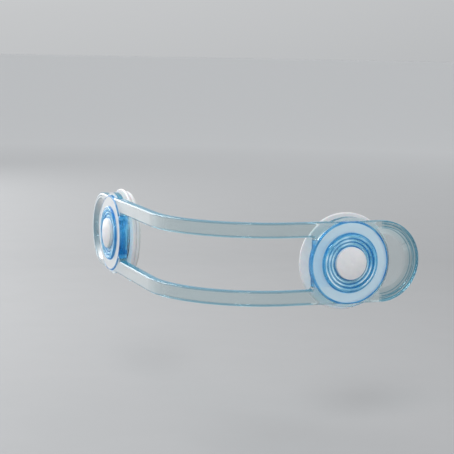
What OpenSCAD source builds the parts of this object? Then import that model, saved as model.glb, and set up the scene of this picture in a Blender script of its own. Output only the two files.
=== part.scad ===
// Cabinet safety lock. A stiff clear strap with an open slot bends round the
// corner of a cabinet. At each end a round head with a push button grips a
// swivel post, and each post turns in a stick-on anchor: one for the door, one
// for the side panel. The strap lifts off a post while its button is held in.
//
// Frame: the origin is the centre of the door anchor's adhesive face, +X runs
// along the door away from the cabinet's corner, +Y into the cabinet, +Z up.
// Each anchor and head is drawn in a local frame with z out of the wall, x
// toward the end tab of the strap and y across the strap.

/* [Reach] */
// Door anchor's axis to the plane of the side panel
door_reach = 68.4; // [60:0.1:85]
// Side anchor's axis to the plane of the door
side_reach = 104.9; // [88:0.1:130]

/* [Strap] */
// Width of the strap
strap_width = 37; // [32:0.5:44]
// Thickness of the strap
strap_thick = 3.9; // [3.2:0.1:5]
// Thickness of the floor that the head clamps
floor_thick = 1.6; // [1.2:0.1:2.2]
// Anchor axis to the tip of the end tab
tab_reach = 34.8; // [29:0.1:42]
// Anchor axis to the end of the slot
slot_start = 17; // [16:0.1:21]
// Width of each rail beside the slot
rail_width = 6.75; // [5.5:0.05:8.5]
// Radius of the bend on the inner face of the rails
bend_radius = 46; // [24:0.5:48]
// Rounding along the edges of the strap
edge_round = 0.9; // [0.5:0.1:1.4]
// Radius of the web in each corner at the end of the slot
slot_lip = 1.25; // [1:0.05:1.8]
// Flat rim round the end tab's dish
rim_width = 2.8; // [2:0.1:3.6]
// Width of the slope from the rim to the dish
dish_slope = 3.4; // [2:0.1:4.2]
// Depth of the dish
dish_depth = 1.8; // [1:0.1:2.2]
// Wall between the head and the dish
head_wall = 0.65; // [0.5:0.05:1.2]
// How far the round collar under the head bulges past the strap's edges
collar_bulge = 1.8; // [1:0.1:2.4]
// Thickness of that collar
collar_thick = 2.7; // [1.8:0.1:3]

/* [Anchor] */
// Radius of the adhesive pad
pad_radius = 20.2; // [17:0.1:20.7]
// Thickness of the adhesive pad
pad_thick = 0.9; // [0.6:0.1:1.6]
// Radius of the lower mounting plate
mount_radius = 20.8; // [20:0.1:21]
// Thickness of the lower mounting plate
mount_thick = 1.2; // [1:0.1:2]
// Radius of the anchor's cover disc at its front rim
base_radius = 22; // [21.6:0.1:26]
// Thickness of the cover disc
base_thick = 2.2; // [2:0.1:3.5]
// How much smaller the cover disc is at its back edge
base_draft = 0.8; // [0.4:0.1:1.2]
// Rounding of the cover disc's front rim
base_round = 0.6; // [0.3:0.05:0.8]
// Width of the shadow groove under the cover disc
groove_width = 0.3; // [0.2:0.05:0.5]
// Depth of the shadow groove
groove_depth = 0.9; // [0.5:0.1:1.5]
// Pegs that hold the cover disc on the mounting plate
peg_count = 3; // [2:1:6]
// Radius of each peg
peg_radius = 1.2; // [0.8:0.1:1.6]
// Height of each peg above the mounting plate
peg_height = 1.1; // [0.6:0.1:1.3]
// Radius of the clear glide ring in front of the cover disc
glide_radius = 16.6; // [13:0.1:19]
// Width of the glide ring
glide_width = 8; // [4:0.1:9]
// Thickness of the glide ring
glide_thick = 0.5; // [0.4:0.05:1]
// Running gap between the glide ring and the head
head_gap = 0.27; // [0.2:0.01:0.5]

/* [Swivel post] */
// Radius of the post's neck
neck_radius = 5; // [4:0.1:6]
// How far the post's head overhangs its neck
head_overhang = 1.15; // [0.9:0.05:1.5]
// How far the post's bearing shoulder is larger than its head
shoulder_step = 0.15; // [0.1:0.05:0.4]
// How far the post's flange reaches past its shoulder
flange_reach = 4.2; // [3:0.1:5]
// Thickness of the post's flange
flange_thick = 1; // [0.7:0.1:1.3]
// Thickness of the post's head at its edge
head_thick = 1; // [0.8:0.1:1.6]
// Rise of the domed head above its edge
head_rise = 0.8; // [0.5:0.1:1.2]
// Radius of the blind bore in the post's head
post_bore = 2.6; // [1.8:0.1:3.2]
// Depth of the blind bore
post_bore_depth = 2.2; // [1:0.1:3]

/* [Head] */
// Thickness of the back plate
back_thick = 0.7; // [0.6:0.05:1.2]
// How far the back plate reaches past the barrel
back_reach = 2.8; // [2:0.1:3.6]
// Height of the ring on the back plate that locates it in the barrel
spigot_height = 0.7; // [0.5:0.05:1.2]
// Width of that ring
spigot_width = 1.9; // [1.4:0.1:2.4]
// Wall of the barrel
barrel_wall = 1.8; // [1.2:0.1:2.2]
// How far the hub's flange would pass the strap's edges, where it is cut flat
hub_over = 0.4; // [0.2:0.05:0.8]
// Thickness of the hub's flange inside its rim
hub_web = 1.1; // [0.9:0.05:1.6]
// Width of the rim under the hub's flange
hub_rim = 1.2; // [0.9:0.05:1.6]
// How far the hub's flange stands proud of the strap
hub_proud = 0.5; // [0.3:0.1:1]
// Bevel round the hub's flange
hub_bevel = 0.4; // [0.2:0.05:0.5]
// Thickness of the hub's roof over the button's flange
roof_thick = 0.7; // [0.6:0.05:1.2]
// Width of the recess round the button
recess_width = 2.3; // [1.6:0.1:3]
// Width of the step between the recess and the boss ring
step_width = 1.6; // [1:0.1:2.2]
// Height of that step above the recess
step_height = 0.4; // [0.2:0.05:0.6]
// Width of the boss ring
boss_width = 2; // [1.4:0.1:2.6]
// Height of the boss ring above the recess
boss_height = 0.8; // [0.6:0.05:1.2]
// Rounding of the boss ring's top edges
boss_round = 0.7; // [0.4:0.05:0.7]
// Rounding of the step's top edges
step_round = 0.4; // [0.2:0.05:0.5]
// How far the barrel is larger than the boss ring
barrel_step = 0.6; // [0.3:0.1:1]
// Width of each key under the roof, which keeps the plunger from turning
key_width = 1.2; // [0.9:0.1:1.6]
// Length of each key, out from the button
key_length = 2.4; // [1.6:0.1:2.4]
// Depth of each key below the roof
key_depth = 1.8; // [1.4:0.1:2]
// Angle from the end tab round to each key
key_angle = 128; // [100:1:150]

/* [Latch ring] */
// Width of the split ring that grips under the post's head
ring_width = 3.2; // [2.6:0.1:3.4]
// Thickness of the split ring
ring_thick = 1.3; // [1:0.1:1.8]
// Gap between the ring's top and the underside of the post's head
ring_lock_gap = 0.25; // [0.15:0.05:0.4]
// Angle of the opening in the split ring
ring_opening = 100; // [90:2:120]
// Angle of the stop that keeps the ring from turning
stop_angle = 78; // [40:2:84]
// Height of the stop
stop_height = 1.1; // [0.8:0.1:1.6]

/* [Button] */
// Wall of the button
button_wall = 0.9; // [0.7:0.05:1.2]
// Travel of the button
button_travel = 1.2; // [0.8:0.1:1.3]
// Button's rim above the boss ring, at rest
button_proud = 0.8; // [0.5:0.1:1.6]
// Rise of the button's dome above its rim
dome_rise = 1.2; // [0.6:0.1:2]
// Rounding between the button's side and its dome
dome_edge = 0.4; // [0.2:0.05:0.6]
// Thickness of the plunger's flange under the hub's roof
flange_web = 0.8; // [0.6:0.05:1.2]
// Depth of the seat for the button's cap in the plunger's flange
cap_seat = 0.4; // [0.2:0.05:0.5]
// Gap between the plunger's skirt and the latch ring, at rest
skirt_gap = 0.35; // [0.2:0.05:0.5]

/* [Button spring] */
// Length of the spring as it is fitted
spring_length = 2.5; // [2.4:0.05:3.4]
// Diameter of the spring wire
wire_dia = 0.35; // [0.3:0.01:0.38]
// Number of curls
spring_curls = 2.2; // [1.5:0.1:2.4]

/* [Clearances] */
// Radial clearance of a turning or sliding round fit
fit_gap = 0.06; // [0.04:0.01:0.1]
// Clearance round a piece that is trapped but free
free_gap = 0.3; // [0.25:0.05:0.5]
// Clearance between pieces that are snapped together
seat_gap = 0.1; // [0.05:0.01:0.15]
// Clearance between pieces that lie face to face
face_gap = 0.03; // [0.02:0.01:0.05]

/* [Hidden] */

// Overrun of cuts through a face, and a size past the whole object
over = 1;
beyond = strap_width;

// Smoothness of large rounds, small rounds and the rails' bend
big_fn = 96;
edge_fn = 16;
bend_fn = 64;

// Faces round a spring wire, and its rings in one curl
wire_sides = 6;
rings_per_curl = 12;

// Share of the ring's bore that its bevel cuts, and of the strap's rounding
// that the webs at the slot's end keep clear of
bevel_share = 0.75;
web_share = 0.4;

// Levels, out of the wall
mount_low = pad_thick;
base_low = mount_low + mount_thick;
post_low = base_low + fit_gap;
pocket_top = post_low + flange_thick + fit_gap;
base_top = base_low + base_thick;
glide_low = base_top + face_gap;
glide_top = glide_low + glide_thick;
back_low = glide_top + head_gap;
back_top = back_low + back_thick;
strap_low = back_top + face_gap;
floor_top = strap_low + floor_thick;
strap_top = strap_low + strap_thick;
hub_low = floor_top + face_gap;
hub_top = strap_top + hub_proud;
spigot_top = back_top + spigot_height;
flange_low = spigot_top + spring_length;
flange_top = flange_low + flange_web;
roof_low = flange_top + face_gap;
recess_top = roof_low + roof_thick;
step_top = recess_top + step_height;
boss_top = recess_top + boss_height;
ring_low = back_top + face_gap;
ring_top = ring_low + ring_thick;
head_low = ring_top + ring_lock_gap;
head_edge = head_low + head_thick;
head_top = head_edge + head_rise;
skirt_low = ring_top + skirt_gap;
button_inside = head_top + button_travel + free_gap;
button_rim = boss_top + button_proud;

// Radii, from the post outward
head_radius = neck_radius + head_overhang;
shoulder_radius = head_radius + shoulder_step;
base_hole = shoulder_radius + fit_gap;
flange_radius = shoulder_radius + flange_reach;
pocket_radius = flange_radius + free_gap;
button_bore = head_radius + free_gap;
button_radius = button_bore + button_wall;
hub_hole = button_radius + fit_gap;
recess_radius = hub_hole + recess_width;
step_radius = recess_radius + step_width;
boss_radius = step_radius + boss_width;
barrel_radius = boss_radius + barrel_step;
cavity_radius = barrel_radius - barrel_wall;
spigot_radius = cavity_radius - seat_gap;
spigot_bore = spigot_radius - spigot_width;
web_radius = cavity_radius - free_gap;
back_radius = barrel_radius + back_reach;
back_bore = head_radius + free_gap;
ring_bore = neck_radius + free_gap;
ring_radius = ring_bore + ring_width;
ring_bevel = (button_radius - ring_bore) * bevel_share;
stop_radius = button_radius + free_gap;
spring_radius = spigot_radius - spigot_width / 2;
peg_circle = (pocket_radius + mount_radius) / 2;
key_start = button_radius + free_gap;

// Strap and hub, across and along
half_width = strap_width / 2;
hub_radius = half_width + hub_over;
seat_radius = hub_radius + fit_gap;
slot_half = half_width - rail_width;
window_half = slot_half - slot_lip;
rail_centre = half_width - rail_width / 2;
tab_centre = tab_reach - half_width;
dish_radius = half_width - rim_width;
dish_floor = dish_radius - dish_slope;
bend_mid = bend_radius + strap_thick / 2;
bend_x = bend_radius - strap_low - door_reach;
bend_y = bend_radius - strap_low;

// Rings of the spring wire, and its least gap to itself
spring_low = spigot_top + wire_dia / 2;
spring_rise = spring_length - wire_dia;
ring_count = ceil(spring_curls * rings_per_curl) + 1;
function wire_centre(i) =
  let (turn = 360 * spring_curls * i / (ring_count - 1))
  [
    spring_radius * cos(turn),
    spring_radius * sin(turn),
    spring_low + spring_rise * i / (ring_count - 1)
  ];
wire_points = [for (i = [0 : ring_count - 1]) wire_centre(i)];
wire_gap = min([
  for (i = [0 : ring_count - 1], j = [i + ceil(rings_per_curl / 2) : 1 : ring_count - 1])
    norm(wire_points[i] - wire_points[j])
]) - wire_dia;
echo(spring_gap_to_itself = wire_gap);

// Rectangle centred on its middle with four round corners
module rounded_bar(width, height, radius) {
  square([width, height - 2 * radius], center = true);
  square([width - 2 * radius, height], center = true);
  for (i = [-1, 1], j = [-1, 1])
    translate([i * (width / 2 - radius), j * (height / 2 - radius)]) circle(r = radius, $fn = edge_fn);
}

// Round disc or ring between two levels
module tube(outer, inner, low, high) {
  translate([0, 0, low])
    linear_extrude(high - low)
      difference() {
        circle(r = outer, $fn = big_fn);
        if (inner > 0) circle(r = inner, $fn = big_fn);
      }
}

// Door side: local z points out of the door, local x away from the corner
module at_door() {
  rotate([90, 0, 0]) children();
}

// Side panel side: local z points out of the panel, local x into the cabinet
module at_side() {
  translate([-door_reach, side_reach, 0]) rotate([-90, 0, 90]) children();
}

// Foam tape
module pad_shape() {
  color("Gainsboro") tube(pad_radius, 0, 0, pad_thick);
}

// Lower plate, with the pegs that enter the cover disc
module mount_plate_shape() {
  color("WhiteSmoke") {
    tube(mount_radius, 0, mount_low, base_low);
    for (i = [0 : peg_count - 1])
      rotate(i * 360 / peg_count)
        translate([peg_circle, 0, base_low - seat_gap])
          cylinder(r = peg_radius, h = peg_height + seat_gap, $fn = edge_fn * 2);
  }
}

// Section of the cover disc, from its hole to its rim
module base_section() {
  difference() {
    union() {
      polygon([
        [0, base_low],
        [base_radius - base_draft - groove_depth, base_low],
        [base_radius - base_draft - groove_depth, base_low + groove_width],
        [base_radius - base_draft, base_low + groove_width],
        [base_radius, base_top - base_round],
        [base_radius - base_round, base_top - base_round],
        [base_radius - base_round, base_top],
        [0, base_top]
      ]);
      translate([base_radius - base_round, base_top - base_round]) circle(r = base_round, $fn = edge_fn * 2);
    }
    translate([0, base_low - over]) square([base_hole, base_thick + 2 * over]);
    translate([0, base_low - over]) square([pocket_radius, pocket_top - base_low + over]);
  }
}

// Cover disc, which traps the post's flange against the lower plate
module base_disc_shape() {
  color("White")
    difference() {
      rotate_extrude($fn = big_fn) base_section();
      for (i = [0 : peg_count - 1])
        rotate(i * 360 / peg_count)
          translate([peg_circle, 0, base_low - over])
            cylinder(r = peg_radius + seat_gap, h = peg_height + seat_gap + over, $fn = edge_fn * 2);
    }
}

// Thin clear ring that the head glides on as the strap swivels
module glide_ring_shape() {
  color("LightSteelBlue") tube(glide_radius, glide_radius - glide_width, glide_low, glide_top);
}

// Section of the swivel post: flange, shoulder, neck and domed head
module post_section() {
  dome_radius = (head_radius * head_radius + head_rise * head_rise) / (2 * head_rise);
  translate([0, post_low]) square([flange_radius, flange_thick]);
  translate([0, post_low]) square([shoulder_radius, base_top - post_low]);
  translate([0, post_low]) square([neck_radius, head_edge - post_low]);
  translate([0, head_low]) square([head_radius, head_thick]);
  intersection() {
    translate([0, head_top - dome_radius]) circle(r = dome_radius, $fn = big_fn * 2);
    translate([0, head_low]) square([head_radius, head_thick + head_rise]);
  }
}

// Mushroom post that turns in the cover disc
module post_shape() {
  color("Silver")
    difference() {
      rotate_extrude($fn = big_fn) post_section();
      translate([0, 0, head_top - post_bore_depth])
        cylinder(r = post_bore, h = post_bore_depth + over, $fn = edge_fn * 2);
    }
}

// Plate that closes the head from behind, with its locating ring and ring stop
module back_plate_shape() {
  color("CornflowerBlue") {
    tube(back_radius, back_bore, back_low, back_top);
    tube(spigot_radius, spigot_bore, back_top, spigot_top);
    rotate(180 - stop_angle / 2)
      rotate_extrude(angle = stop_angle, $fn = big_fn)
        translate([stop_radius, back_top]) square([spigot_bore + seat_gap - stop_radius, stop_height]);
  }
}

// Flange of the hub: a web with a rim under it, cut flat at the strap's edges
module hub_flange() {
  intersection() {
    difference() {
      union() {
        tube(hub_radius, 0, hub_low, hub_top - hub_bevel);
        translate([0, 0, hub_top - hub_bevel])
          cylinder(r1 = hub_radius, r2 = hub_radius - hub_bevel, h = hub_bevel, $fn = big_fn);
      }
      translate([0, 0, floor_top - over])
        cylinder(r = hub_radius - hub_rim, h = hub_top - hub_web - floor_top + over, $fn = big_fn);
    }
    translate([-beyond, -half_width + seat_gap, back_top])
      cube([2 * beyond, strap_width - 2 * seat_gap, hub_top]);
  }
}

// Round ring standing on the hub, with both its top edges rounded
module round_ring(outer, width, high, rounding) {
  rotate_extrude($fn = big_fn) {
    translate([outer - width, hub_low]) square([width, high - rounding - hub_low]);
    translate([outer - width + rounding, hub_low]) square([width - 2 * rounding, high - hub_low]);
    for (across = [rounding, width - rounding])
      translate([outer - across, high - rounding]) circle(r = rounding, $fn = edge_fn * 2);
  }
}

// Two bars beside the slot: the keys, or with an allowance their slots
module key_pair(allowance, low, high) {
  for (i = [-1, 1])
    rotate(i * key_angle)
      translate([key_start - allowance, -key_width / 2 - allowance, low])
        cube([key_length + 2 * allowance, key_width + 2 * allowance, high - low]);
}

// Hub: flange, barrel, roof, two rings round the button and the block that
// fills the slot's end, hollowed for the works, with two keys under the roof
module hub_shape() {
  color("RoyalBlue", 0.7) {
    difference() {
      union() {
        hub_flange();
        tube(barrel_radius, 0, strap_low, hub_top);
        tube(boss_radius, 0, hub_low, recess_top);
        round_ring(boss_radius, boss_width, boss_top, boss_round);
        round_ring(step_radius, step_width, step_top, step_round);
        translate([-slot_start, -window_half + seat_gap, strap_low])
          cube([slot_start, 2 * (window_half - seat_gap), hub_top - strap_low]);
      }
      translate([0, 0, back_top - over])
        cylinder(r = cavity_radius, h = roof_low - back_top + over, $fn = big_fn);
      translate([0, 0, back_top]) cylinder(r = hub_hole, h = boss_top, $fn = big_fn);
    }
    key_pair(0, roof_low - key_depth, roof_low + roof_thick / 2);
  }
}

// Split ring that grips under the post's head and opens toward the slot
module latch_ring_shape() {
  color("DodgerBlue", 0.7)
    rotate(180 + ring_opening / 2)
      rotate_extrude(angle = 360 - ring_opening, $fn = big_fn)
        polygon([
          [ring_bore, ring_low],
          [ring_radius, ring_low],
          [ring_radius, ring_top],
          [ring_bore + ring_bevel, ring_top],
          [ring_bore, ring_top - ring_bevel / 2]
        ]);
}

// Spring between the back plate's ring and the plunger's flange
module button_spring_shape() {
  points = [
    for (i = [0 : ring_count - 1], k = [0 : wire_sides - 1])
      let (
        turn = 360 * spring_curls * i / (ring_count - 1),
        side = 360 * k / wire_sides,
        out = spring_radius + wire_dia / 2 * cos(side)
      )
      [out * cos(turn), out * sin(turn), wire_points[i][2] + wire_dia / 2 * sin(side)]
  ];
  walls = [
    for (i = [0 : ring_count - 2], k = [0 : wire_sides - 1])
      let (a = i * wire_sides + k, b = i * wire_sides + (k + 1) % wire_sides)
      each [[a, a + wire_sides, b], [b, a + wire_sides, b + wire_sides]]
  ];
  first_end = [for (k = [1 : wire_sides - 2]) [0, k, k + 1]];
  last_ring = (ring_count - 1) * wire_sides;
  last_end = [for (k = [1 : wire_sides - 2]) [last_ring, last_ring + k + 1, last_ring + k]];
  color("LightGray") polyhedron(points = points, faces = concat(walls, first_end, last_end), convexity = 10);
}

// Plunger: flange under the hub's roof, slotted for the keys, and the skirt
// that spreads the ring
module plunger_shape() {
  color("DodgerBlue", 0.7)
    difference() {
      union() {
        tube(button_radius, button_bore, skirt_low, flange_top - cap_seat);
        tube(web_radius, button_bore, flange_low, flange_top);
      }
      translate([0, 0, flange_top - cap_seat])
        cylinder(r = button_radius + fit_gap, h = cap_seat + over, $fn = big_fn);
      key_pair(fit_gap, flange_low - over, roof_low + over);
    }
}

// Section of the button's cap: side wall and domed top, hollow over the post
module button_section() {
  cap_low = flange_top - cap_seat + face_gap;
  dome_base = button_radius - dome_edge;
  dome_radius = (dome_base * dome_base + dome_rise * dome_rise) / (2 * dome_rise);
  difference() {
    union() {
      translate([0, cap_low]) square([button_radius, button_rim - dome_edge - cap_low]);
      translate([0, cap_low]) square([dome_base, button_rim - cap_low]);
      translate([dome_base, button_rim - dome_edge]) circle(r = dome_edge, $fn = edge_fn * 2);
      intersection() {
        translate([0, button_rim + dome_rise - dome_radius]) circle(r = dome_radius, $fn = big_fn * 2);
        translate([0, button_rim - dome_edge]) square([dome_base, dome_rise + dome_edge]);
      }
    }
    translate([0, cap_low - over]) square([button_bore, button_inside - cap_low + over]);
  }
}

module button_shape() {
  color("White") rotate_extrude($fn = big_fn) button_section();
}

// Half section of the end plate, with its round edge
module plate_edge() {
  intersection() {
    rounded_bar(strap_width, strap_thick, edge_round);
    translate([0, -strap_thick]) square([half_width, 2 * strap_thick]);
  }
}

// End plate in its local frame: round end, straight part, dish, seat and window
module end_plate() {
  plate_mid = strap_low + strap_thick / 2;
  difference() {
    union() {
      translate([tab_centre, 0, plate_mid]) rotate_extrude($fn = big_fn) plate_edge();
      translate([-slot_start, 0, plate_mid])
        rotate([90, 0, 90])
          linear_extrude(slot_start + tab_centre) rounded_bar(strap_width, strap_thick, edge_round);
      collar();
    }
    tab_dish();
    translate([0, 0, floor_top]) cylinder(r = seat_radius, h = strap_thick, $fn = big_fn);
    translate([0, 0, strap_low - over]) cylinder(r = barrel_radius + fit_gap, h = strap_thick, $fn = big_fn);
    translate([-slot_start - over, -window_half, strap_low - over])
      cube([slot_start + over, 2 * window_half, strap_thick + 2 * over]);
  }
  slot_webs();
}

// Round collar under the head, which bulges past the strap's edges
module collar() {
  intersection() {
    tube(half_width + collar_bulge, 0, strap_low, strap_low + collar_thick);
    translate([-slot_start, -beyond, strap_low]) cube([2 * beyond, 2 * beyond, collar_thick]);
  }
}

// Crescent dish in the end tab, outside the wall round the head
module tab_dish() {
  difference() {
    translate([tab_centre, 0, strap_top - dish_depth])
      cylinder(r1 = dish_floor, r2 = dish_radius, h = dish_depth, $fn = big_fn);
    translate([0, 0, strap_low]) cylinder(r = seat_radius + head_wall, h = strap_thick, $fn = big_fn);
  }
}

// Webs that round the corners where the slot ends
module slot_webs() {
  inset = edge_round * web_share;
  for (i = [0, 1])
    mirror([0, i, 0])
      translate([-slot_start - slot_lip, window_half, strap_low + inset])
        difference() {
          cube([2 * slot_lip, slot_lip + edge_round, strap_thick - 2 * inset]);
          translate([0, 0, -over]) cylinder(r = slot_lip, h = strap_thick + 2 * over, $fn = edge_fn * 2);
        }
}

// Both rails: the quarter bend about the vertical line through its centre, and
// the straight leg from each of its ends to an end plate
module rails() {
  door_leg = -bend_x - slot_start;
  side_leg = side_reach - bend_y - slot_start;
  for (i = [-1, 1])
    translate([bend_x, bend_y, i * rail_centre]) {
      rotate(180)
        rotate_extrude(angle = 90, $fn = bend_fn)
          translate([bend_mid, 0]) rounded_bar(strap_thick, rail_width, edge_round);
      translate([0, -bend_mid, 0])
        rotate([90, 0, 90]) linear_extrude(door_leg) rounded_bar(strap_thick, rail_width, edge_round);
      translate([-bend_mid, 0, 0])
        rotate([-90, 0, 0]) linear_extrude(side_leg) rounded_bar(strap_thick, rail_width, edge_round);
    }
}

module strap() {
  color("PaleTurquoise", 0.6) {
    at_door() end_plate();
    rails();
    at_side() end_plate();
  }
}

module door_pad() { at_door() pad_shape(); }
module door_mount_plate() { at_door() mount_plate_shape(); }
module door_base_disc() { at_door() base_disc_shape(); }
module door_glide_ring() { at_door() glide_ring_shape(); }
module door_post() { at_door() post_shape(); }
module door_back_plate() { at_door() back_plate_shape(); }
module door_hub() { at_door() hub_shape(); }
module door_latch_ring() { at_door() latch_ring_shape(); }
module door_button_spring() { at_door() button_spring_shape(); }
module door_plunger() { at_door() plunger_shape(); }
module door_button() { at_door() button_shape(); }
module side_pad() { at_side() pad_shape(); }
module side_mount_plate() { at_side() mount_plate_shape(); }
module side_base_disc() { at_side() base_disc_shape(); }
module side_glide_ring() { at_side() glide_ring_shape(); }
module side_post() { at_side() post_shape(); }
module side_back_plate() { at_side() back_plate_shape(); }
module side_hub() { at_side() hub_shape(); }
module side_latch_ring() { at_side() latch_ring_shape(); }
module side_button_spring() { at_side() button_spring_shape(); }
module side_plunger() { at_side() plunger_shape(); }
module side_button() { at_side() button_shape(); }

strap();
door_pad();
door_mount_plate();
door_base_disc();
door_glide_ring();
door_post();
door_back_plate();
door_hub();
door_latch_ring();
door_button_spring();
door_plunger();
door_button();
side_pad();
side_mount_plate();
side_base_disc();
side_glide_ring();
side_post();
side_back_plate();
side_hub();
side_latch_ring();
side_button_spring();
side_plunger();
side_button();
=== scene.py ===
"""Looks of the cabinet safety lock: clear strap, blue heads, white anchors.

Metres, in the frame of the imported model: the origin is the centre of the door
anchor's adhesive face, +X along the door, +Y into the cabinet, +Z up.
"""
import math

import bpy
from mathutils import Matrix, Vector


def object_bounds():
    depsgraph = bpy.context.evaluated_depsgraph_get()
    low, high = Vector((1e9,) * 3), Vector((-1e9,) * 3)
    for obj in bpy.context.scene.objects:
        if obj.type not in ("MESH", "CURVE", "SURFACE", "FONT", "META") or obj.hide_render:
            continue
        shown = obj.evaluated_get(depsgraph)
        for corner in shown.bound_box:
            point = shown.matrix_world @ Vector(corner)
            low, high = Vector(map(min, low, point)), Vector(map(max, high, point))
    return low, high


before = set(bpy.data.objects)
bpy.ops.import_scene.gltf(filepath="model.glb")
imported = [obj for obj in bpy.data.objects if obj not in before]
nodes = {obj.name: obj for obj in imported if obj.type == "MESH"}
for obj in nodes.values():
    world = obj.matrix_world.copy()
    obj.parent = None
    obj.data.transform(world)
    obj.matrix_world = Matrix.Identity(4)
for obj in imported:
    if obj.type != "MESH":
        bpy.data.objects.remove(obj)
cad_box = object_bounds()
scene = bpy.context.scene

SIDES = ("door", "side")
UP = (0, 0, 1)

# Centre of the side anchor, and places along the strap from each anchor's axis
SIDE_CENTRE = (-0.0684, 0.1049, 0)
TAB_CENTRE = 0.0163
SLOT_START = 0.017

# Radii of the tabs' dishes and of the hubs' bosses
DISH_FLOOR = 0.0123
DISH_RADIUS = 0.0157
BOSS_RADIUS = 0.0133

# Painted lines, rings by their radii and the rails' edges by their heights. The dark ones are
# painted shade in place of the dark lines that refraction makes at edges and steps
TAB_SHADE_RINGS = ((0.0179, 0.0186), (0.0169, 0.0171), (0.0156, 0.0158))
HUB_RIM = (0.0182, 0.0189)
HUB_SHADE_RINGS = (HUB_RIM, (0.0131, 0.0134), (0.0110, 0.0113), (0.0094, 0.0097), (0.0073, 0.0078))
# The hub's pale rings are painted highlights on the tops of the boss's steps
HUB_HIGHLIGHT_RINGS = ((0.0118, 0.0122), (0.0101, 0.0104), (0.0086, 0.0088))
RAIL_SHADE_LINES = ((0.0178, 0.0185), (0.01175, 0.0124))
LINE_FADE = 0.0003

# How squarely a surface faces a direction, where an effect starts and is full
EDGE_FACING = (0.25, 0.9)
BROAD_FACING = (0.5, 0.8)
FLAT_FACING = (0.8, 0.95)
# How slanting a view is, where the sheen starts and is full
SHEEN_SLANT = (0.15, 0.75)
EVEN_BLEND = 0.5

# Part of a noise's range that holds most of its values
NOISE_RANGE = (0.3, 0.7)
# Low and high noise, and the strength that it gives a ring at each
HUB_RING_NOISE = (0.35, 0.6, 0.55, 1.0)
HUB_HIGHLIGHT_NOISE = (0.4, 0.65, 1.0, 0.25)

# Every clear plastic: its optics, and the share that noise moves its roughness
PLASTIC_IOR = 1.49
LAMPLIGHT_PASSED = (0.99, 0.99, 0.99)
ROUGHNESS_SWING = 0.4

# Colours that the clear plastics pass inside
AZURE = (0.05, 0.72, 0.97)
STRAP_INSIDE = (0.25, 0.60, 0.66)
RING_INSIDE = (0.70, 0.85, 0.97)

# Surface tints of the hubs and the strap, and their milk colours. The hub's line colours and the
# strap's slope and edge colours are painted shade, the strap's edge milk a painted glow, and the
# hub's face milk also paints highlights
PLAIN = (1, 1, 1)
HUB_PLAIN = (0.93, 0.97, 1.0)
HUB_SHADE_LINE = (0.06, 0.40, 0.76)
HUB_SHADE_LINE_MILK = (0.03, 0.24, 0.62)
HUB_DEEP_MILK = (0.13, 0.66, 0.96)
HUB_FACE_MILK = (0.80, 0.92, 1.0)
STRAP_SLOPE_SHADE = (0.74, 0.81, 0.83)
STRAP_EDGE_SHADE = (0.12, 0.38, 0.50)
STRAP_EDGE_GLOW = (0.08, 0.38, 0.56)

# Shares of milk, and shares of a full tint or sheen on the rails. The line and rail shares carry
# painted shade, the strap's edge haze a painted glow, and the highlight haze painted highlights
HUB_DEEP_HAZE = 0.18
HUB_FACE_HAZE = 0.46
HUB_SHADE_LINE_HAZE = 0.35
HUB_HIGHLIGHT_HAZE = 0.95
STRAP_EDGE_GLOW_HAZE = 0.3
RAIL_SHADE_SHARE = 0.85
RAIL_SHEEN_SHARE = 0.68
# Place of a blend's middle colour
MIDDLE = 0.5

# The floor lies just under the strap as it hangs when turned 90 degrees down.
# Its tint changes over a range of distances from the door anchor.
FLOOR_GAP = 0.01
FLOOR_LEVEL = cad_box[0][0] - FLOOR_GAP
FLOOR_HALF = 14.0
FLOOR_NEAR = (0.36, 0.362, 0.367)
FLOOR_FAR = (0.685, 0.688, 0.692)
FLOOR_FADE = (0.6, 1.9)

# Lamps: name, place, target, size and watts
LOCK_MIDDLE = (-0.03, 0.03, 0)
SIDE_HEAD = (-0.078, 0.105, 0)
FLOOR_BEHIND = (-0.22, 0.35, FLOOR_LEVEL)
LAMPS = (
    ("key", (-0.48, -0.78, 0.70), LOCK_MIDDLE, 0.3, 5.0),
    ("fill", (0.6, -0.8, 0.35), LOCK_MIDDLE, 0.7, 2.0),
    ("sheen", (-0.42, 1.25, 0.30), SIDE_HEAD, 0.6, 3.8),
    ("left", (-0.42, 0.55, 0.45), FLOOR_BEHIND, 0.4, 3.2),
)

# The surroundings' bright direction, and their colours toward it
SKY_TOWARD = (0, 0.55, 0.835)
SKY_STOPS = (
    (0.0, (0.10, 0.12, 0.14)),
    (0.55, (0.56, 0.57, 0.58)),
    (0.85, (1.05, 1.07, 1.09)),
)

# The light crosses many clear walls on its way into each head and out again
LIGHT_BOUNCES = 40

# Camera of the photograph, fitted to the anchors, the tabs and the strap
CAMERA_PLACE = Vector((-0.2686, -0.5672, 0.0968))
CAMERA_YAW = math.radians(20.626)
CAMERA_PITCH = math.radians(7.571)
CAMERA_ROLL = math.radians(-1.296)
FOCAL_PIXELS = 1400
FRAME_PIXELS = 454
SENSOR_WIDTH = 36.0
CLIP_START = 0.01
CLIP_END = 30


# Numbers and colours in a node tree


def combine(tree, operation, values):
    """Numbers taken together two at a time by one operation."""
    result = values[0]
    for value in values[1:]:
        node = tree.nodes.new("ShaderNodeMath")
        node.operation = operation
        tree.links.new(result, node.inputs[0])
        tree.links.new(value, node.inputs[1])
        result = node.outputs["Value"]
    return result


def maximum(tree, *values):
    """The largest of some numbers."""
    return combine(tree, "MAXIMUM", values)


def product(tree, *values):
    """Some numbers multiplied."""
    return combine(tree, "MULTIPLY", values)


def absolute(tree, value):
    """A number without its sign."""
    node = tree.nodes.new("ShaderNodeMath")
    node.operation = "ABSOLUTE"
    tree.links.new(value, node.inputs[0])
    return node.outputs["Value"]


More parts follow.
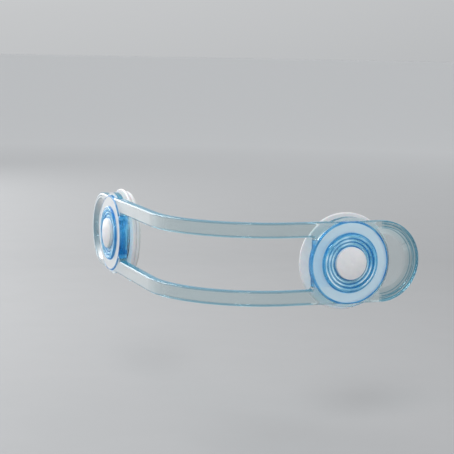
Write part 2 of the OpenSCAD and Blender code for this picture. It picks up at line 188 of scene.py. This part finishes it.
def span(tree, value, from_low, from_high, to_low=0.0, to_high=1.0):
    """A number moved from one range to another, and held at its ends."""
    moved = tree.nodes.new("ShaderNodeMapRange")
    moved.inputs["From Min"].default_value = from_low
    moved.inputs["From Max"].default_value = from_high
    moved.inputs["To Min"].default_value = to_low
    moved.inputs["To Max"].default_value = to_high
    tree.links.new(value, moved.inputs["Value"])
    return moved.outputs["Result"]


def between(tree, factor, low, high):
    """A factor from nought to one, moved to between two numbers."""
    return span(tree, factor, 0, 1, low, high)


def opposite(tree, factor):
    """One where a factor is nought, and nought where it is one."""
    return between(tree, factor, 1, 0)


def step(tree, value, mark, before=0.0, after=1.0):
    """One number up to a mark and another past it, with a soft step between."""
    return span(tree, value, mark, mark + LINE_FADE, before, after)


def lines_at(tree, value, bands):
    """One inside the bands given, and nought between them."""
    lines = []
    for low, high in bands:
        rise = step(tree, value, low - LINE_FADE)
        fall = step(tree, value, high, 1, 0)
        lines.append(product(tree, rise, fall))
    return maximum(tree, *lines)


def distance_from(tree, centre, across):
    """Distance in metres from a line through centre, measured across it."""
    place = tree.nodes.new("ShaderNodeTexCoord")
    offset = tree.nodes.new("ShaderNodeVectorMath")
    offset.operation = "SUBTRACT"
    offset.inputs[1].default_value = centre
    flat = tree.nodes.new("ShaderNodeVectorMath")
    flat.operation = "MULTIPLY"
    flat.inputs[1].default_value = across
    length = tree.nodes.new("ShaderNodeVectorMath")
    length.operation = "LENGTH"
    tree.links.new(place.outputs["Object"], offset.inputs[0])
    tree.links.new(offset.outputs["Vector"], flat.inputs[0])
    tree.links.new(flat.outputs["Vector"], length.inputs[0])
    return length.outputs["Value"]


def facing(tree, direction):
    """How far a surface faces along a direction of the object or against it."""
    place = tree.nodes.new("ShaderNodeTexCoord")
    along = tree.nodes.new("ShaderNodeVectorMath")
    along.operation = "DOT_PRODUCT"
    along.inputs[1].default_value = direction
    tree.links.new(place.outputs["Normal"], along.inputs[0])
    return absolute(tree, along.outputs["Value"])


def colour_ramp(tree, factor, stops):
    """A colour that runs through stops, each a place on the factor and a colour."""
    ramp = tree.nodes.new("ShaderNodeValToRGB")
    elements = ramp.color_ramp.elements
    for element, (position, colour) in zip(elements, (stops[0], stops[-1])):
        element.position = position
        element.color = (*colour, 1)
    for position, colour in stops[1:-1]:
        elements.new(position).color = (*colour, 1)
    tree.links.new(factor, ramp.inputs["Fac"])
    return ramp.outputs["Color"]


def blend_colour(tree, factor, *colours):
    """A colour that runs evenly through the colours given, by a factor."""
    stops = [(index / (len(colours) - 1), colour) for index, colour in enumerate(colours)]
    return colour_ramp(tree, factor, stops)


def add_noise(tree, scale, detail=3.0):
    """Noise over the object's own coordinates, with its scale per metre."""
    place = tree.nodes.new("ShaderNodeTexCoord")
    noise = tree.nodes.new("ShaderNodeTexNoise")
    noise.inputs["Scale"].default_value = scale
    noise.inputs["Detail"].default_value = detail
    tree.links.new(place.outputs["Object"], noise.inputs["Vector"])
    return noise.outputs["Fac"]


# Materials


def new_material(name):
    """A node material with its tree, its Principled shader and its output."""
    material = bpy.data.materials.new(name)
    material.use_nodes = True
    tree = material.node_tree
    shader = next(n for n in tree.nodes if n.type == "BSDF_PRINCIPLED")
    output = next(n for n in tree.nodes if n.type == "OUTPUT_MATERIAL")
    return material, tree, shader, output


def vary_roughness(tree, shader, noise, low, high):
    """Lets the noise move the shader's roughness between low and high."""
    tree.links.new(span(tree, noise, *NOISE_RANGE, low, high), shader.inputs["Roughness"])


def tint(tree, shader, noise, dark, light):
    """Lets the noise move the base colour between two close colours."""
    low, high = NOISE_RANGE
    colour = colour_ramp(tree, noise, ((low, dark), (high, light)))
    tree.links.new(colour, shader.inputs["Base Color"])


def bump(tree, shader, noise, height):
    """Raises the surface by the noise, to a height in metres."""
    relief = tree.nodes.new("ShaderNodeBump")
    relief.inputs["Distance"].default_value = height
    tree.links.new(noise, relief.inputs["Height"])
    tree.links.new(relief.outputs["Normal"], shader.inputs["Normal"])


def clear_plastic(name, passed, density, roughness, wave=0.0):
    """Clear plastic: glass at the surface, with a tint that deepens inside.

    Lamplight passes straight through it, so that the pieces inside are lit.
    The shader and the mix that ends in it come back too, for closer work.
    """
    material, tree, shader, output = new_material(name)
    shader.inputs["Base Color"].default_value = (*PLAIN, 1)
    shader.inputs["Transmission Weight"].default_value = 1
    shader.inputs["IOR"].default_value = PLASTIC_IOR
    smoothest = roughness * (1 - ROUGHNESS_SWING)
    roughest = roughness * (1 + ROUGHNESS_SWING)
    vary_roughness(tree, shader, add_noise(tree, scale=260), smoothest, roughest)
    if wave:
        bump(tree, shader, add_noise(tree, scale=55, detail=1.0), wave)
    path = tree.nodes.new("ShaderNodeLightPath")
    unlit = maximum(tree, path.outputs["Is Shadow Ray"], path.outputs["Is Diffuse Ray"])
    through = tree.nodes.new("ShaderNodeBsdfTransparent")
    through.inputs["Color"].default_value = (*LAMPLIGHT_PASSED, 1)
    surface = tree.nodes.new("ShaderNodeMixShader")
    tree.links.new(unlit, surface.inputs[0])
    tree.links.new(shader.outputs["BSDF"], surface.inputs[1])
    tree.links.new(through.outputs["BSDF"], surface.inputs[2])
    tree.links.new(surface.outputs["Shader"], output.inputs["Surface"])
    inside = tree.nodes.new("ShaderNodeVolumeAbsorption")
    inside.inputs["Color"].default_value = (*passed, 1)
    inside.inputs["Density"].default_value = density
    tree.links.new(inside.outputs["Volume"], output.inputs["Volume"])
    return material, tree, shader, surface


def add_haze(tree, shader, surface, colour, amount):
    """Mixes a milky colour into a clear plastic, by an amount."""
    milk = tree.nodes.new("ShaderNodeBsdfDiffuse")
    tree.links.new(colour, milk.inputs["Color"])
    mixed = tree.nodes.new("ShaderNodeMixShader")
    tree.links.new(amount, mixed.inputs[0])
    tree.links.new(shader.outputs["BSDF"], mixed.inputs[1])
    tree.links.new(milk.outputs["BSDF"], mixed.inputs[2])
    tree.links.new(mixed.outputs["Shader"], surface.inputs[1])
    return mixed.outputs["Shader"]


def add_sheen(tree, below, surface, amount, strength, roughness):
    """Soft gloss over a clear plastic, stronger where it is seen at a slant."""
    slant = tree.nodes.new("ShaderNodeLayerWeight")
    slant.inputs["Blend"].default_value = EVEN_BLEND
    strong = span(tree, slant.outputs["Facing"], *SHEEN_SLANT, 0.0, strength)
    gloss = tree.nodes.new("ShaderNodeBsdfGlossy")
    gloss.inputs["Roughness"].default_value = roughness
    mixed = tree.nodes.new("ShaderNodeMixShader")
    tree.links.new(product(tree, strong, amount), mixed.inputs[0])
    tree.links.new(below, mixed.inputs[1])
    tree.links.new(gloss.outputs["BSDF"], mixed.inputs[2])
    tree.links.new(mixed.outputs["Shader"], surface.inputs[1])


def strap_edge_shade(tree, parts):
    """Where the strap has painted edge shade and glow, and where its tabs are.

    One on surfaces that face up or down, the tabs' rings and the rails' edges, and less on the tabs'
    dish slopes, which get painted shade. The parts are the place's X, Y and Z.
    """
    rails = lines_at(tree, absolute(tree, parts["Z"]), RAIL_SHADE_LINES)
    edges = [span(tree, facing(tree, UP), *EDGE_FACING)]
    tabs = []
    for along, anchor in (("X", 0), ("Y", SIDE_CENTRE[1])):
        middle = anchor + TAB_CENTRE
        centre = [middle if axis == along else 0 for axis in "XYZ"]
        across = [int(axis in (along, "Z")) for axis in "XYZ"]
        radius = distance_from(tree, centre, across)
        # Painted shade on the dish slopes, half-way to the edge tint
        slope = span(tree, radius, DISH_FLOOR, DISH_RADIUS, 0, MIDDLE)
        rim = maximum(tree, lines_at(tree, radius, TAB_SHADE_RINGS), slope)
        beyond = step(tree, parts[along], middle)
        edges.append(product(tree, rim, beyond))
        tabs.append(beyond)
        before = step(tree, parts[along], anchor - SLOT_START - LINE_FADE, 1, 0)
        rails = product(tree, rails, before)
    edges.append(between(tree, rails, 0, RAIL_SHADE_SHARE))
    return maximum(tree, *edges), maximum(tree, *tabs)


def strap_plastic(name):
    """Clear strap: painted shade and glow on its edges, and a sheen on its broad faces."""
    material, tree, shader, surface = clear_plastic(
        name, passed=STRAP_INSIDE, density=100, roughness=0.015, wave=0.00006)
    place = tree.nodes.new("ShaderNodeTexCoord")
    parts = tree.nodes.new("ShaderNodeSeparateXYZ")
    tree.links.new(place.outputs["Object"], parts.inputs["Vector"])
    edges, tabs = strap_edge_shade(tree, parts.outputs)
    # Painted shade: dark teal on the edges and rims, grey on the dish slopes
    edge_and_slope_shade = blend_colour(tree, edges, PLAIN, STRAP_SLOPE_SHADE, STRAP_EDGE_SHADE)
    tree.links.new(edge_and_slope_shade, shader.inputs["Base Color"])
    # Painted glow: azure milk on the edges
    milk = blend_colour(tree, edges, PLAIN, STRAP_EDGE_GLOW)
    amount = span(tree, edges, MIDDLE, 1, 0, STRAP_EDGE_GLOW_HAZE)
    hazy = add_haze(tree, shader, surface, milk, amount)
    broad = maximum(tree, facing(tree, (1, 0, 0)), facing(tree, (0, 1, 0)))
    glossy = product(
        tree,
        span(tree, broad, *BROAD_FACING),
        between(tree, tabs, RAIL_SHEEN_SHARE, 1),
        span(tree, edges, MIDDLE, 1, 1, 0),
    )
    add_sheen(tree, hazy, surface, glossy, strength=0.95, roughness=0.5)
    return material


def hub_plastic(name, centre, axis):
    """Blue hub: dark rings painted at its steps as painted shade, and a milky face round the boss.

    Pale rings painted on the tops of the boss's steps are painted highlights. Noise makes both
    uneven.
    """
    material, tree, shader, surface = clear_plastic(name, passed=AZURE, density=120, roughness=0.012)
    radius = distance_from(tree, centre, [1 - size for size in axis])
    noise = add_noise(tree, scale=120, detail=1.0)
    flat = span(tree, facing(tree, axis), *FLAT_FACING)
    # Painted shade: dark blue rings at the steps, and a dark band on the flange's flat cuts that
    # face up and down
    rings = product(tree, lines_at(tree, radius, HUB_SHADE_RINGS), span(tree, noise, *HUB_RING_NOISE))
    level = span(tree, facing(tree, UP), *FLAT_FACING)
    flat_cut_shade = product(tree, step(tree, radius, HUB_RIM[0] - LINE_FADE), level)
    lines = maximum(tree, rings, flat_cut_shade)
    tree.links.new(blend_colour(tree, lines, HUB_PLAIN, HUB_SHADE_LINE), shader.inputs["Base Color"])
    # Painted highlights: pale rings on the boss's step tops, brighter in some arcs by noise
    highlight_rings = lines_at(tree, radius, HUB_HIGHLIGHT_RINGS)
    painted_highlight = product(tree, highlight_rings, span(tree, noise, *HUB_HIGHLIGHT_NOISE), flat)
    face = product(tree, step(tree, radius, BOSS_RADIUS), flat, opposite(tree, lines))
    pale = maximum(tree, face, painted_highlight)
    tone = product(tree, between(tree, pale, MIDDLE, 1), opposite(tree, lines))
    milk = blend_colour(tree, tone, HUB_SHADE_LINE_MILK, HUB_DEEP_MILK, HUB_FACE_MILK)
    amount = maximum(
        tree,
        between(tree, pale, HUB_DEEP_HAZE, HUB_FACE_HAZE),
        between(tree, lines, 0, HUB_SHADE_LINE_HAZE),
        between(tree, painted_highlight, 0, HUB_HIGHLIGHT_HAZE),
    )
    hazy = add_haze(tree, shader, surface, milk, amount)
    add_sheen(tree, hazy, surface, face, strength=0.95, roughness=0.55)
    return material


def white_plastic(name):
    """Semi-gloss white moulded plastic."""
    material, tree, shader, _ = new_material(name)
    noise = add_noise(tree, scale=420, detail=4.0)
    tint(tree, shader, noise, dark=(0.80, 0.80, 0.82), light=(0.86, 0.86, 0.87))
    vary_roughness(tree, shader, noise, low=0.3, high=0.42)
    bump(tree, shader, add_noise(tree, scale=2600, detail=2.0), height=0.000012)
    shader.inputs["Subsurface Weight"].default_value = 0.12
    shader.inputs["Subsurface Scale"].default_value = 0.002
    return material


def satin_plastic(name):
    """Natural engineering plastic of the posts."""
    material, tree, shader, _ = new_material(name)
    noise = add_noise(tree, scale=500)
    tint(tree, shader, noise, dark=(0.74, 0.75, 0.76), light=(0.82, 0.83, 0.84))
    vary_roughness(tree, shader, noise, low=0.45, high=0.6)
    bump(tree, shader, add_noise(tree, scale=3000, detail=2.0), height=0.00001)
    return material


def foam_tape(name):
    """Closed-cell foam of the adhesive pads."""
    material, tree, shader, _ = new_material(name)
    noise = add_noise(tree, scale=3800, detail=5.0)
    tint(tree, shader, noise, dark=(0.62, 0.62, 0.60), light=(0.84, 0.84, 0.82))
    vary_roughness(tree, shader, noise, low=0.8, high=0.95)
    bump(tree, shader, noise, height=0.00008)
    return material


def spring_steel(name):
    """Bright drawn wire."""
    material, tree, shader, _ = new_material(name)
    noise = add_noise(tree, scale=1500)
    tint(tree, shader, noise, dark=(0.55, 0.55, 0.57), light=(0.72, 0.72, 0.74))
    vary_roughness(tree, shader, noise, low=0.18, high=0.32)
    shader.inputs["Metallic"].default_value = 1
    return material


def give(node, material):
    """Puts a material on every slot of a CAD node."""
    piece = nodes[node]
    if not piece.material_slots:
        piece.data.materials.append(material)
    for slot in piece.material_slots:
        slot.link = "OBJECT"
        slot.material = material


def dress():
    """Gives every CAD node its material."""
    strap = strap_plastic("strap_clear")
    hubs = {
        "door": hub_plastic("door_hub_blue", centre=(0, 0, 0), axis=(0, 1, 0)),
        "side": hub_plastic("side_hub_blue", centre=SIDE_CENTRE, axis=(1, 0, 0)),
    }
    inner = clear_plastic("inner_blue", passed=AZURE, density=80, roughness=0.04)[0]
    ring = clear_plastic("glide_clear", passed=RING_INSIDE, density=60, roughness=0.06)[0]
    white = white_plastic("anchor_white")
    cap = white_plastic("button_white")
    post = satin_plastic("post_natural")
    foam = foam_tape("pad_foam")
    wire = spring_steel("spring_wire")
    give("strap", strap)
    for side in SIDES:
        give(side + "_pad", foam)
        give(side + "_mount_plate", white)
        give(side + "_base_disc", white)
        give(side + "_glide_ring", ring)
        give(side + "_post", post)
        give(side + "_back_plate", inner)
        give(side + "_hub", hubs[side])
        give(side + "_latch_ring", inner)
        give(side + "_button_spring", wire)
        give(side + "_plunger", inner)
        give(side + "_button", cap)


# Stage


def backdrop():
    """A wide floor, grey under the lock and as pale as its surroundings far off."""
    half = FLOOR_HALF
    corners = [(-half, -half), (half, -half), (half, half), (-half, half)]
    mesh = bpy.data.meshes.new("floor")
    mesh.from_pydata([(x, y, FLOOR_LEVEL) for x, y in corners], [], [(0, 1, 2, 3)])
    floor = bpy.data.objects.new("floor", mesh)
    scene.collection.objects.link(floor)
    material, tree, shader, _ = new_material("floor_pale")
    far = span(tree, distance_from(tree, (0, 0, 0), (1, 1, 0)), *FLOOR_FADE)
    noise = add_noise(tree, scale=30)
    mottled = product(tree, span(tree, noise, *NOISE_RANGE, 0.96, 1.0), far)
    tree.links.new(blend_colour(tree, mottled, FLOOR_NEAR, FLOOR_FAR), shader.inputs["Base Color"])
    vary_roughness(tree, shader, noise, low=0.66, high=0.74)
    mesh.materials.append(material)


def lamp(name, place, target, size, power):
    """A soft square lamp at a place, turned to a target."""
    data = bpy.data.lights.new(name, "AREA")
    data.shape = "SQUARE"
    data.size = size
    data.energy = power
    light = bpy.data.objects.new(name, data)
    light.location = place
    light.rotation_euler = (Vector(target) - Vector(place)).to_track_quat("-Z", "Y").to_euler()
    scene.collection.objects.link(light)


def lighting():
    """Soft light from the front, upper left, and a weaker lamp on the right.

    A lamp behind gives the side head its sheen, and one lights the floor there.
    The surroundings are bright above and behind the lock and darker in front,
    which gives the clear plastic its dark and light lines.
    """
    for name, place, target, size, power in LAMPS:
        lamp(name, place, target, size, power)
    world = bpy.data.worlds.new("surroundings")
    world.use_nodes = True
    tree = world.node_tree
    place = tree.nodes.new("ShaderNodeTexCoord")
    toward = tree.nodes.new("ShaderNodeVectorMath")
    toward.operation = "DOT_PRODUCT"
    toward.inputs[1].default_value = SKY_TOWARD
    tree.links.new(place.outputs["Generated"], toward.inputs[0])
    sky = colour_ramp(tree, toward.outputs["Value"], SKY_STOPS)
    tree.links.new(sky, tree.nodes["Background"].inputs["Color"])
    scene.world = world


def camera():
    """The photograph's camera: its place, its turn and its lens."""
    forward = Vector((
        math.sin(CAMERA_YAW) * math.cos(CAMERA_PITCH),
        math.cos(CAMERA_YAW) * math.cos(CAMERA_PITCH),
        -math.sin(CAMERA_PITCH),
    ))
    level_right = Vector((math.cos(CAMERA_YAW), -math.sin(CAMERA_YAW), 0))
    level_down = forward.cross(level_right)
    right = level_right * math.cos(CAMERA_ROLL) + level_down * math.sin(CAMERA_ROLL)
    down = level_down * math.cos(CAMERA_ROLL) - level_right * math.sin(CAMERA_ROLL)
    data = bpy.data.cameras.new("camera")
    data.sensor_width = SENSOR_WIDTH
    data.sensor_fit = "HORIZONTAL"
    data.lens = FOCAL_PIXELS / FRAME_PIXELS * SENSOR_WIDTH
    data.clip_start = CLIP_START
    data.clip_end = CLIP_END
    view = bpy.data.objects.new("camera", data)
    turn = Matrix((right, -down, -forward)).transposed()
    view.matrix_world = Matrix.Translation(CAMERA_PLACE) @ turn.to_4x4()
    scene.collection.objects.link(view)
    scene.camera = view


scene.view_settings.view_transform = "Standard"
scene.cycles.max_bounces = LIGHT_BOUNCES
scene.cycles.transmission_bounces = LIGHT_BOUNCES
scene.cycles.transparent_max_bounces = LIGHT_BOUNCES
camera()
dress()
backdrop()
lighting()
